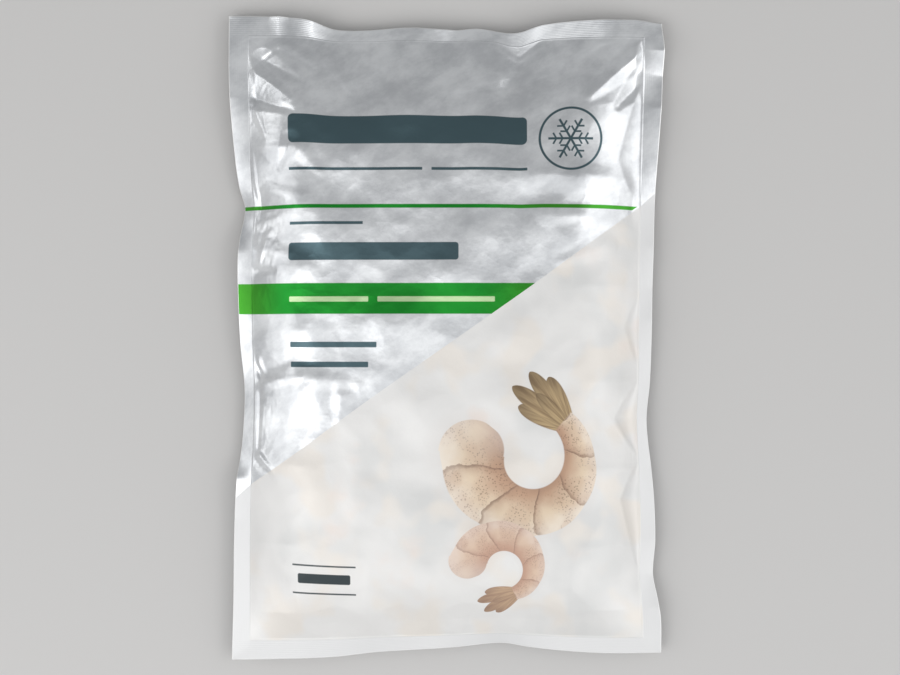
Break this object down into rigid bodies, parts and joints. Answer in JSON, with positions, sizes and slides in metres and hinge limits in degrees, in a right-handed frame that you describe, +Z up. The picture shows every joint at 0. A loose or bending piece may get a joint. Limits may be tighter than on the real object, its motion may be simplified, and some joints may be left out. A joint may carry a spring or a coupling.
{
  "type": "sealed pouch of frozen shrimp",
  "caption": "Flat four-side-sealed film pouch of frozen peeled shrimp, lying on its back, with welded borders and a plump, softly puckered front film.",
  "frame": {"origin": "on the surface that the pouch lies on, below the middle of its outline", "axes": "+Z up out of the printed front, +Y towards the top seal, +X to the right of the printed front"},
  "size_m": [0.2401, 0.355, 0.0327],
  "materials": {
    "pouch_film": "pearly silver-white laminated film, half satin and half frosted"
  },
  "bodies": {
    "root": {"pouch": "pouch_film"}
  },
  "joints": []
}
